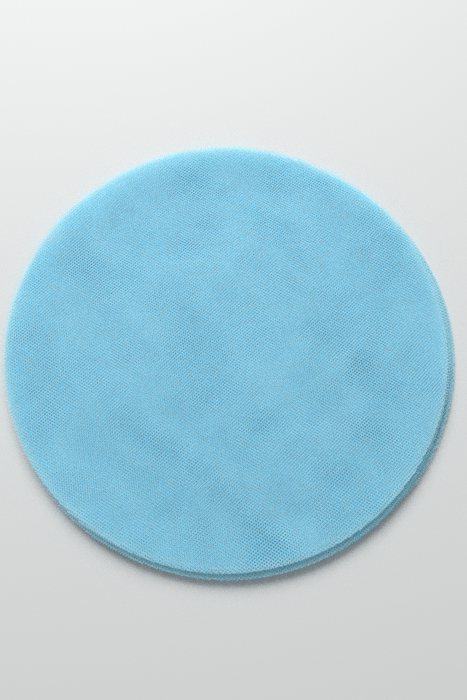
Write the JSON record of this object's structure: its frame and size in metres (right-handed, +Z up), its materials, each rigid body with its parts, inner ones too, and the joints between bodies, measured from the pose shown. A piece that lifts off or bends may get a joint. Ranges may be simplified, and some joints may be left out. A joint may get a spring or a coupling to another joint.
{
  "type": "pile of round tulle net circles",
  "caption": "Loose pile of round cut tulle net circles, lying flat on one another with their rims a little out of line.",
  "frame": {"origin": "on the surface that the pile lies on, under the middle of the whole pile's outline", "axes": "+Z up through the pile, +X to the side that the lower circles have slid to, +Y away from the viewer of the picture"},
  "size_m": [0.2354, 0.2334, 0.0087],
  "materials": {
    "tulle_net": "matt light-blue nylon net with a fine hexagonal mesh"
  },
  "bodies": {
    "net_circle_01": {"net_circle_01": "tulle_net"},
    "net_circle_02": {"net_circle_02": "tulle_net"},
    "net_circle_03": {"net_circle_03": "tulle_net"},
    "net_circle_04": {"net_circle_04": "tulle_net"},
    "net_circle_05": {"net_circle_05": "tulle_net"},
    "net_circle_06": {"net_circle_06": "tulle_net"},
    "net_circle_07": {"net_circle_07": "tulle_net"},
    "net_circle_08": {"net_circle_08": "tulle_net"},
    "net_circle_09": {"net_circle_09": "tulle_net"},
    "net_circle_10": {"net_circle_10": "tulle_net"},
    "net_circle_11": {"net_circle_11": "tulle_net"},
    "net_circle_12": {"net_circle_12": "tulle_net"},
    "net_circle_13": {"net_circle_13": "tulle_net"},
    "net_circle_14": {"net_circle_14": "tulle_net"},
    "net_circle_15": {"net_circle_15": "tulle_net"},
    "net_circle_16": {"net_circle_16": "tulle_net"},
    "net_circle_17": {"net_circle_17": "tulle_net"},
    "net_circle_18": {"net_circle_18": "tulle_net"},
    "net_circle_19": {"net_circle_19": "tulle_net"},
    "net_circle_20": {"net_circle_20": "tulle_net"}
  },
  "joints": [
    {"name": "lift_02", "type": "slide", "parent": "net_circle_01", "child": "net_circle_02", "axis": [0, 0, 1], "range_m": [0, 0.015]},
    {"name": "lift_03", "type": "slide", "parent": "net_circle_02", "child": "net_circle_03", "axis": [0, 0, 1], "range_m": [0, 0.015]},
    {"name": "lift_04", "type": "slide", "parent": "net_circle_03", "child": "net_circle_04", "axis": [0, 0, 1], "range_m": [0, 0.015]},
    {"name": "lift_05", "type": "slide", "parent": "net_circle_04", "child": "net_circle_05", "axis": [0, 0, 1], "range_m": [0, 0.015]},
    {"name": "lift_06", "type": "slide", "parent": "net_circle_05", "child": "net_circle_06", "axis": [0, 0, 1], "range_m": [0, 0.015]},
    {"name": "lift_07", "type": "slide", "parent": "net_circle_06", "child": "net_circle_07", "axis": [0, 0, 1], "range_m": [0, 0.015]},
    {"name": "lift_08", "type": "slide", "parent": "net_circle_07", "child": "net_circle_08", "axis": [0, 0, 1], "range_m": [0, 0.015]},
    {"name": "lift_09", "type": "slide", "parent": "net_circle_08", "child": "net_circle_09", "axis": [0, 0, 1], "range_m": [0, 0.015]},
    {"name": "lift_10", "type": "slide", "parent": "net_circle_09", "child": "net_circle_10", "axis": [0, 0, 1], "range_m": [0, 0.015]},
    {"name": "lift_11", "type": "slide", "parent": "net_circle_10", "child": "net_circle_11", "axis": [0, 0, 1], "range_m": [0, 0.015]},
    {"name": "lift_12", "type": "slide", "parent": "net_circle_11", "child": "net_circle_12", "axis": [0, 0, 1], "range_m": [0, 0.015]},
    {"name": "lift_13", "type": "slide", "parent": "net_circle_12", "child": "net_circle_13", "axis": [0, 0, 1], "range_m": [0, 0.015]},
    {"name": "lift_14", "type": "slide", "parent": "net_circle_13", "child": "net_circle_14", "axis": [0, 0, 1], "range_m": [0, 0.015]},
    {"name": "lift_15", "type": "slide", "parent": "net_circle_14", "child": "net_circle_15", "axis": [0, 0, 1], "range_m": [0, 0.015]},
    {"name": "lift_16", "type": "slide", "parent": "net_circle_15", "child": "net_circle_16", "axis": [0, 0, 1], "range_m": [0, 0.015]},
    {"name": "lift_17", "type": "slide", "parent": "net_circle_16", "child": "net_circle_17", "axis": [0, 0, 1], "range_m": [0, 0.015]},
    {"name": "lift_18", "type": "slide", "parent": "net_circle_17", "child": "net_circle_18", "axis": [0, 0, 1], "range_m": [0, 0.015]},
    {"name": "lift_19", "type": "slide", "parent": "net_circle_18", "child": "net_circle_19", "axis": [0, 0, 1], "range_m": [0, 0.015]},
    {"name": "lift_20", "type": "slide", "parent": "net_circle_19", "child": "net_circle_20", "axis": [0, 0, 1], "range_m": [0, 0.015]}
  ]
}
